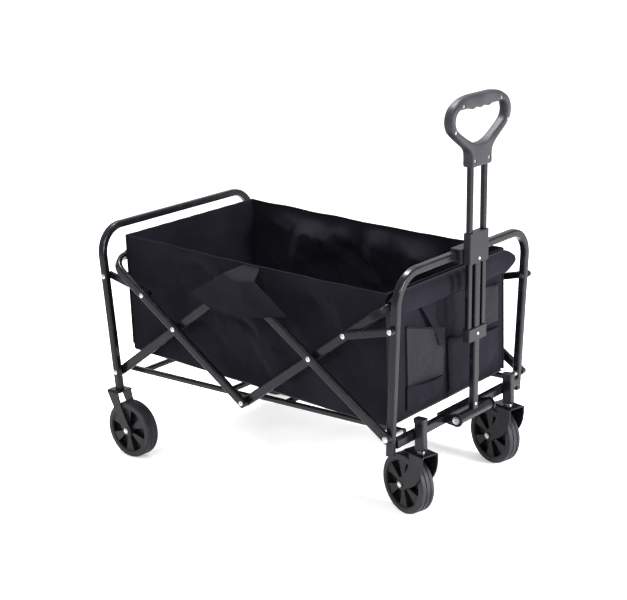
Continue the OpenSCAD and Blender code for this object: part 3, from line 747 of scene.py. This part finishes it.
@dataclass
class Bag:
    """The open-topped bag: sides, end walls, sleeves, pockets, flaps and floor."""

    cloth: float = 0.0012
    rim_drop: float = 0.012
    hem: float = 0.0020
    stitch: float = 0.0008
    folded_share: float = 0.24
    creases: tuple[Crease, ...] = (
        Crease((-0.322, 0.500), (-0.181, 0.438), 0.018, 0.075),
        Crease((-0.181, 0.438), (-0.107, 0.425), 0.014, 0.050),
        Crease((-0.107, 0.425), (-0.010, 0.368), -0.016, 0.026),
        Crease((-0.107, 0.425), (-0.077, 0.490), 0.012, 0.034),
        Crease((0.010, 0.480), (-0.010, 0.368), 0.020, 0.045),
        Crease((0.010, 0.480), (0.124, 0.423), 0.018, 0.060),
        Crease((0.124, 0.423), (0.310, 0.290), 0.013, 0.080),
        Crease((-0.010, 0.368), (0.070, 0.250), -0.014, 0.040),
        Crease((-0.230, 0.380), (-0.181, 0.438), 0.012, 0.040),
        Crease((-0.230, 0.380), (-0.060, 0.260), 0.012, 0.070),
        Crease((0.200, 0.470), (0.240, 0.330), -0.010, 0.045),
    )

    def __post_init__(self) -> None:
        """Reads the bag's place from the frame."""
        rear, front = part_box("bag_rear_wall"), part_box("bag_front_wall")
        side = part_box("bag_side_left")
        self.x0, self.x1 = rear[0].x, front[1].x
        self.half = side[1].y
        self.mid = (self.x0 + self.x1) / 2
        self.rear_rim, self.front_rim = rear[1].z, front[1].z
        self.rear_rise, self.front_rise = rear[0].z, front[0].z - 0.003
        back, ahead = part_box("rear_floor_board"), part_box("front_floor_board")
        self.slope = (ahead[1].z - back[1].z) / (ahead[0].x - back[0].x)
        self.rear_low = back[1].z + self.slope * (self.x0 - back[0].x) - 0.003
        self.front_low = self.rear_low + self.slope * (self.x1 - self.x0)

    def rim(self, x: float) -> float:
        """Height of the bag's side rim at x."""
        middle = self.front_rim + self.rim_drop
        return along_line([(self.x0, self.rear_rim), (self.mid, middle), (self.x1, self.front_rim)], x)

    def floor(self, x: float) -> float:
        """Height of the bag's lower edge at x."""
        return along_line([(self.x0, self.rear_low), (self.x1, self.front_low)], x)

    def sag(self, x: float, z: float, seed: float) -> float:
        """Slack in a cloth panel: broad billows and finer puckers."""
        broad = noise.noise(Vector((x * 6, z * 8, seed)))
        fold = 1 - abs(2 * noise.noise(Vector((x * 11 + z * 6, z * 9, seed + 3))))
        fine = noise.noise(Vector((x * 34, z * 30, seed + 5)))
        return broad * 0.0022 + max(0.0, fold - 0.72) * 0.010 + fine * 0.0013

    def side(self, sign: int, name: str) -> None:
        """Makes one long side with its folds and rim piping.

        Args:
            sign: 1 for the left side, -1 for the right.
            name: The node that it stands for.
        """
        def at(u: float, v: float) -> Point:
            x = lerp(self.x0, self.x1, u)
            low, high = self.floor(x), self.rim(x)
            wavy = 0.004 * noise.noise(Vector((x * 14, sign * 3.0, 0)))
            z = lerp(low + wavy * (1 - v), high + 0.5 * wavy * v, v)
            held = min(1.0, 7 * min(u, 1 - u)) * min(1.0, 5 * v) * min(1.0, 4.5 * (1 - v))
            push = sum(c.at(x, z) for c in self.creases) + self.sag(x, z, 2.0 * sign)
            inward = min(0.034, max(-0.009, push * smooth(held)))
            return x, sign * (self.half - 0.002 - inward), z

        panel = Bench.grid(f"{name}_cloth", 180, 64, at)
        Bench.modify(panel, "SOLIDIFY", thickness=self.cloth, offset=0.0)
        Bench.soften(panel, 60)
        count = 60
        xs = [lerp(self.x0, self.x1, i / count) for i in range(count + 1)]
        ys = [at(i / count, 1.0)[1] for i in range(count + 1)]
        rope = [(x, y, self.rim(x) + 0.002 * noise.noise(Vector((x * 14, sign * 3.0, 0))))
                for x, y in zip(xs, ys)]
        piping = Bench.cord(f"{name}_piping", rope, self.hem)
        self.gather(self.fitted(panel, Finish.SIDE_CLOTH, "bag_rear", (name,)))
        self.gather(self.fitted(piping, Finish.SIDE_CLOTH, "bag_rear"))

    def gather(self, piece: bpy.types.Object) -> None:
        """Gives the piece a mesh of its own."""
        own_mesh(piece)

    def fitted(self, body: bpy.types.Object, finish: Finish, rides: str,
               nodes: tuple[str, ...] = ()) -> bpy.types.Object:
        """Fits a piece and returns it."""
        return Piece(body, finish, rides, nodes).fit()

    def wall(self, name: str, rides: str, x: float, low: float, high: float, inward: int) -> None:
        """Makes one stiffened end wall.

        Args:
            name: The node that it stands for.
            rides: Its body.
            x: Where it stands.
            low: Height of its lower edge.
            high: Height of its upper edge.
            inward: 1 if +X is the inside of the bag, -1 if -X is.
        """
        def at(u: float, v: float) -> Point:
            y = lerp(-self.half + 0.003, self.half - 0.003, u)
            z = lerp(low, high, v)
            held = smooth(min(1.0, 6 * min(u, 1 - u))) * smooth(min(1.0, 5 * min(v, 1 - v)))
            billow = 0.5 * self.sag(y, z, 9.0 + inward) * held
            return x + inward * max(-0.0005, billow + 0.0015), y, z

        panel = Bench.grid(f"{name}_cloth", 110, 60, at)
        Bench.modify(panel, "SOLIDIFY", thickness=0.0022, offset=0.0)
        Bench.soften(panel, 60)
        self.fitted(panel, Finish.END_CLOTH, rides, (name,))
        rope = [(x, lerp(-self.half, self.half, i / 30), high + 0.0003 * math.sin(i * 1.7)) for i in range(31)]
        self.fitted(Bench.cord(f"{name}_piping", rope, self.hem), Finish.END_CLOTH, rides)
        for sign in (-1, 1):
            corner = [(x, sign * (self.half - 0.001), lerp(low, high, i / 12)) for i in range(13)]
            seam = Bench.cord(f"{name}_corner_{'left' if sign > 0 else 'right'}", corner, self.hem)
            self.fitted(seam, Finish.END_CLOTH, rides)

    def sleeve(self, name: str, rides: str, reach: float, tip: float) -> None:
        """Makes the cloth rolled over a crossbar and sewn back on itself.

        Args:
            name: The node that it stands for.
            rides: Its body.
            reach: Half its length along the crossbar.
            tip: How far each end runs on past that, narrowing to a point.
        """
        low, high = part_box(name)
        centre = (low + high) / 2
        deep, tall = (high.x - low.x) / 2, (high.z - low.z) / 2

        def at(u: float, v: float) -> Point:
            y = lerp(-reach - tip, reach + tip, v)
            over = max(0.0, abs(y) - reach) / tip
            angle = 2 * math.pi * u
            c, s = math.cos(angle), math.sin(angle)
            wide = lerp(1.0, 0.80, over)
            high_share = lerp(1.0, 0.42, over ** 1.5)
            pucker = 1 + 0.022 * noise.noise(Vector((y * 22, c * 2, s * 2)))
            x = centre.x + deep * wide * pucker * math.copysign(abs(c) ** 0.8, c)
            z = centre.z + tall * high_share * pucker * math.copysign(abs(s) ** 0.85, s)
            return x, y, z

        roll = Bench.grid(f"{name}_cloth", 64, 120, at)
        Bench.weld(roll, 2e-5)
        Bench.modify(roll, "SOLIDIFY", thickness=self.cloth, offset=-1.0)
        Bench.soften(roll, 60)
        self.fitted(roll, Finish.END_CLOTH, rides, (name,))
        face = centre.x + math.copysign(0.62 * deep, centre.x)
        row = [(face, lerp(-reach, reach, i / 40), centre.z - 0.86 * tall) for i in range(41)]
        self.fitted(Bench.cord(f"{name}_stitch_0", row, self.stitch), Finish.END_CLOTH, rides)

    def pocket(self, name: str, finish: Finish, corners: Sequence[tuple[float, float]], bulge: float,
               replaces: tuple[str, ...] = ()) -> None:
        """Makes a pocket sewn on the front wall, open along its bulging top edge.

        Args:
            name: The piece's name.
            finish: What it is made of.
            corners: (y, z) of its lower right, lower left, upper left and upper right corners.
            bulge: How far its top edge stands off the wall.
            replaces: Nodes that it stands for.
        """
        low_right, low_left, top_left, top_right = corners

        def at(u: float, v: float) -> Point:
            y = lerp(lerp(low_right[0], low_left[0], u), lerp(top_right[0], top_left[0], u), v)
            z = lerp(lerp(low_right[1], low_left[1], u), lerp(top_right[1], top_left[1], u), v)
            full = smooth(math.sin(math.pi * u)) * smooth(v * 1.6 + 0.12)
            ripple = 0.0016 * noise.noise(Vector((y * 45, z * 40, bulge * 900))) * min(1.0, 8 * u * (1 - u))
            return self.x1 + 0.0022 + bulge * full + ripple, y, z

        panel = Bench.grid(name, 60, 48, at)
        if finish is not Finish.MESH:
            Bench.modify(panel, "SOLIDIFY", thickness=0.0009, offset=0.0)
        Bench.soften(panel, 60)
        self.fitted(panel, finish, "bag_front", replaces)
        top = [at(i / 24, 1.0) for i in range(25)]
        hem = [(x + 0.0004, y, z) for x, y, z in top]
        self.fitted(Bench.cord(f"{name}_hem", hem, 0.0024), Finish.END_CLOTH, "bag_front")
        for side, u in (("right", 0.0), ("left", 1.0)):
            edge = [at(u, i / 12) for i in range(13)]
            self.fitted(Bench.cord(f"{name}_tape_{side}", edge, 0.0013), Finish.END_CLOTH, "bag_front")

    def strap(self, name: str, points: Sequence[Point], width: float) -> None:
        """Makes a flat strap along a curve with four control points, its width along Y."""
        def at(u: float, v: float) -> Point:
            a, b, c, d = (Vector(point) for point in points)
            w = 1 - v
            place = a * w ** 3 + b * (3 * w * w * v) + c * (3 * w * v * v) + d * v ** 3
            return place.x, place.y + lerp(-width / 2, width / 2, u), place.z

        band = Bench.grid(name, 8, 40, at)
        Bench.modify(band, "SOLIDIFY", thickness=0.0012, offset=0.0)
        Bench.soften(band, 50)
        self.fitted(band, Finish.END_CLOTH, "bag_front")

    def flap(self, sign: int, name: str) -> None:
        """Makes the flap that hangs from the rim over the top of the scissor.

        Args:
            sign: 1 for the left side, -1 for the right.
            name: The node that it stands for.
        """
        low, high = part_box(name)
        outer = high.y if sign > 0 else -low.y
        x0, x1 = low.x, high.x
        span = x1 - x0
        hang = high.z - low.z
        edge = [(x0, high.z - 0.66 * hang), (x0 + 0.21 * span, high.z - 0.93 * hang),
                (x0 + 0.47 * span, high.z - 0.99 * hang), (x0 + 0.75 * span, high.z - 0.90 * hang),
                (x1, high.z - 0.76 * hang)]
        top0, top1 = x0 + 0.44 * span, x0 + 0.58 * span

        def at(u: float, v: float) -> Point:
            low_x = lerp(x0, x1, u)
            top_x = lerp(top0, top1, u)
            x = lerp(low_x, top_x, v)
            z_low, z_top = along_line(edge, low_x), self.rim(x)
            z = lerp(z_low, z_top, v)
            out = 1 - smooth((v - 0.74) / 0.26)
            ridge = max(0.0, 1 - abs(u - 0.62 + 0.10 * v) / 0.16) + max(0.0, 1 - abs(u - 0.34 - 0.10 * v) / 0.16)
            tuck = 0.0035 * (1 - min(1.0, ridge)) * smooth(v * 2.5) * out
            ripple = 0.0008 * noise.noise(Vector((x * 30, z * 24, 4.0 * sign)))
            y = lerp(self.half + 0.0006, outer - 0.0012, out) - tuck + ripple * out
            return x, sign * y, z

        sheet = Bench.grid(f"{name}_cloth", 70, 40, at)
        Bench.modify(sheet, "SOLIDIFY", thickness=self.cloth, offset=0.0)
        Bench.soften(sheet, 70)
        self.fitted(sheet, Finish.SIDE_CLOTH, "bag_rear", (name,))
        self.gather(sheet)
        hem = [at(i / 40, 0.0) for i in range(41)]
        bead = self.fitted(Bench.cord(f"{name}_hem", hem, 0.0012), Finish.SIDE_CLOTH, "bag_rear")
        self.gather(bead)

    def base(self) -> None:
        """Makes the cloth-covered floor boards and the strip between them."""
        for name, rides in (("rear_floor_board", "rear_floor"), ("front_floor_board", "front_floor"),
                            ("floor_centre_strip", "rear_floor")):
            low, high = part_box(name)
            thick = (high.z - low.z) + self.slope * (high.x - low.x)
            top = high.z

            def at(u: float, v: float) -> Point:
                x, y = lerp(low.x, high.x, u), lerp(low.y, high.y, v)
                puff = 0.0012 * noise.noise(Vector((x * 12, y * 12, 1)))
                return x, y, top + self.slope * (x - low.x) - 0.4 * thick + puff

            board = Bench.grid(f"{name}_cover", 40, 50, at)
            Bench.modify(board, "SOLIDIFY", thickness=max(0.0012, 0.75 * thick), offset=0.0)
            Bench.modify(board, "BEVEL", width=0.0004, segments=2, limit_method="ANGLE")
            Bench.soften(board, 50)
            self.fitted(board, Finish.FLOOR_CLOTH, rides, (name,))
            if name == "floor_centre_strip":
                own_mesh(board)

    def bottom(self) -> None:
        """Makes the bag's own floor, under the boards, from wall to wall."""
        low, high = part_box("rear_floor_board")
        level = high.z - 0.0042

        def at(u: float, v: float) -> Point:
            x = lerp(self.x0 + 0.001, self.x1 - 0.002, u)
            y = lerp(-self.half + 0.0025, self.half - 0.0025, v)
            slack = 0.0006 * noise.noise(Vector((x * 20, y * 20, 2)))
            return x, y, level + self.slope * (x - low.x) + slack

        sheet = Bench.grid("bag_bottom", 80, 48, at)
        Bench.modify(sheet, "SOLIDIFY", thickness=self.cloth, offset=-1.0)
        Bench.soften(sheet, 50)
        self.fitted(sheet, Finish.FLOOR_CLOTH, "bag_rear")
        self.gather(sheet)

    def build(self) -> None:
        """Makes the whole bag."""
        self.bottom()
        for sign, word in ((1, "left"), (-1, "right")):
            self.side(sign, f"bag_side_{word}")
            self.flap(sign, f"side_flap_{word}")
        self.wall("bag_rear_wall", "bag_rear", self.x0, self.rear_rise, self.rear_rim, 1)
        self.wall("bag_front_wall", "bag_front", self.x1 - 0.001, self.front_rise, self.front_rim, -1)
        self.sleeve("rear_sleeve", "bag_rear", 0.150, 0.045)
        self.sleeve("front_sleeve", "bag_front", 0.184, 0.030)
        self.pocket("mesh_pocket_net", Finish.MESH,
                    ((-0.147, 0.262), (-0.020, 0.252), (-0.011, 0.352), (-0.147, 0.387)), 0.011,
                    ("mesh_pocket",))
        self.pocket("mesh_pocket_base", Finish.END_CLOTH,
                    ((-0.150, 0.215), (-0.026, 0.212), (-0.019, 0.253), (-0.148, 0.263)), 0.010)
        self.pocket("fabric_pocket_cloth", Finish.END_CLOTH,
                    ((-0.002, 0.212), (0.188, 0.214), (0.190, 0.299), (-0.006, 0.325)), 0.012,
                    ("fabric_pocket",))
        self.pocket("side_net", Finish.MESH,
                    ((0.108, 0.316), (0.188, 0.316), (0.189, 0.396), (0.112, 0.404)), 0.006)
        face = self.x1 + 0.004
        self.strap("pocket_strap", [(face, -0.098, 0.428), (face + 0.002, -0.078, 0.400),
                                    (face + 0.014, -0.050, 0.350), (face + 0.011, -0.044, 0.326)], 0.021)


# ------------------------------------------------------------------------------ studio


@dataclass
class Studio:
    """Floor, soft lights and the camera."""

    azimuth: float = 39.62
    elevation: float = 16.05
    roll: float = -2.21
    distance: float = 3.27811
    shift_right: float = -0.00038
    shift_up: float = 0.05025
    aim: Point = (-0.01862, 0.0, 0.300)
    focal: float = 86.32
    sensor: float = 36.0

    def camera(self) -> None:
        """Places the camera and makes it the scene's."""
        a, e, r = (math.radians(v) for v in (self.azimuth, self.elevation, self.roll))
        back = Vector((math.sin(a) * math.cos(e), -math.cos(a) * math.cos(e), math.sin(e)))
        right = Vector((math.cos(a), math.sin(a), 0))
        up = back.cross(right)
        place = Vector(self.aim) + back * self.distance + right * self.shift_right + up * self.shift_up
        tilted = (right * math.cos(r) + up * math.sin(r), up * math.cos(r) - right * math.sin(r), back)
        data = bpy.data.cameras.new("camera")
        data.lens, data.sensor_width, data.sensor_fit = self.focal, self.sensor, "HORIZONTAL"
        data.clip_start, data.clip_end = 0.05, 60
        camera = bpy.data.objects.new("camera", data)
        turn = Matrix([[v[i] for v in tilted] for i in range(3)]).to_4x4()
        camera.matrix_world = Matrix.Translation(place) @ turn
        bpy.context.scene.collection.objects.link(camera)
        bpy.context.scene.camera = camera

    def lamp(self, name: str, place: Point, aim: Point, size: float, watts: float) -> None:
        """Adds one soft square lamp.

        Args:
            name: Its name.
            place: Where it hangs.
            aim: Where it points.
            size: Its side.
            watts: Its power.
        """
        data = bpy.data.lights.new(name, "AREA")
        data.size, data.energy = size, watts
        lamp = bpy.data.objects.new(name, data)
        lamp.location = place
        lamp.rotation_euler = (Vector(aim) - Vector(place)).to_track_quat("-Z", "Y").to_euler()
        bpy.context.scene.collection.objects.link(lamp)

    def floor(self) -> None:
        """Lays the pale floor, bright enough to read as plain white."""
        Bench.clear()
        bpy.ops.mesh.primitive_circle_add(vertices=96, radius=14, fill_type="NGON")
        disc = Bench.named("studio_floor")
        nodes = Nodes("studio_white")
        cloud = nodes.noise(3, 2)
        tone = nodes.blend(cloud, (0.90, 0.90, 0.90), (0.93, 0.93, 0.93))
        disc.data.materials.append(nodes.surface({
            "Base Color": tone, "Roughness": 0.9, "Emission Color": (1.0, 1.0, 1.0, 1.0),
            "Emission Strength": 0.30}))

    def build(self) -> None:
        """Sets up the whole studio."""
        self.floor()
        world = bpy.data.worlds.new("studio")
        world.use_nodes = True
        world.node_tree.nodes["Background"].inputs[0].default_value = (1.0, 1.0, 1.0, 1.0)
        world.node_tree.nodes["Background"].inputs[1].default_value = 1.0
        bpy.context.scene.world = world
        bpy.context.scene.view_settings.view_transform = "Standard"
        self.lamp("front_key", (3.0, 0.2, 0.95), (0.3, 0, 0.35), 0.8, 170)
        self.lamp("top_soft", (-0.6, 0.4, 2.6), (0, 0, 0.3), 0.5, 100)
        self.lamp("side_fill", (1.2, -2.8, 2.4), (0, 0, 0.3), 0.6, 60)
        self.camera()


def main() -> None:
    """Builds every sub-assembly in order."""
    logging.basicConfig(level=logging.INFO, format="%(name)s %(message)s")
    Studio().build()
    Metalwork().dress()
    Grip().build()
    Bag().build()


if __name__ == "__main__":
    main()
